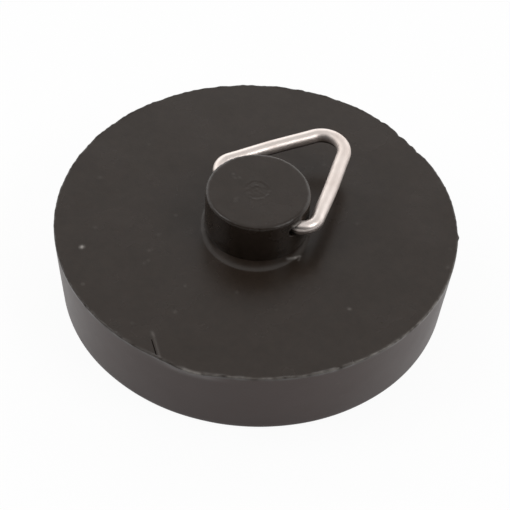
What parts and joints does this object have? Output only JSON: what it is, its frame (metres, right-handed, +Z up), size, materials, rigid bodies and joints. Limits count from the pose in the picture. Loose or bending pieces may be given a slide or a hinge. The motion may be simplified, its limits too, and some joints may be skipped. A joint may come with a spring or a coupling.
{
  "type": "drain stopper",
  "caption": "Round tapered rubber waste plug with a central boss and a bent wire triangle bail that swings in a hole through the boss, for a sink or bath outlet.",
  "frame": {"origin": "centre of the plug's flat underside", "axes": "+Z up through the boss, +X along the hole that carries the bail, +Y the side that the bail lies over to"},
  "size_m": [0.045, 0.045, 0.0149],
  "materials": {
    "plug_rubber": "matt moulded black rubber, faintly mottled",
    "bail_wire": "bright plated wire, drawn and bent"
  },
  "bodies": {
    "plug": {"rubber_plug": "plug_rubber"},
    "bail": {"wire_bail": "bail_wire"}
  },
  "joints": [
    {"name": "bail_swing", "type": "hinge", "parent": "plug", "child": "bail", "pos_m": [0, 0, 0.01316], "axis": [1, 0, 0], "range_deg": [-13.1, 191.5]}
  ]
}
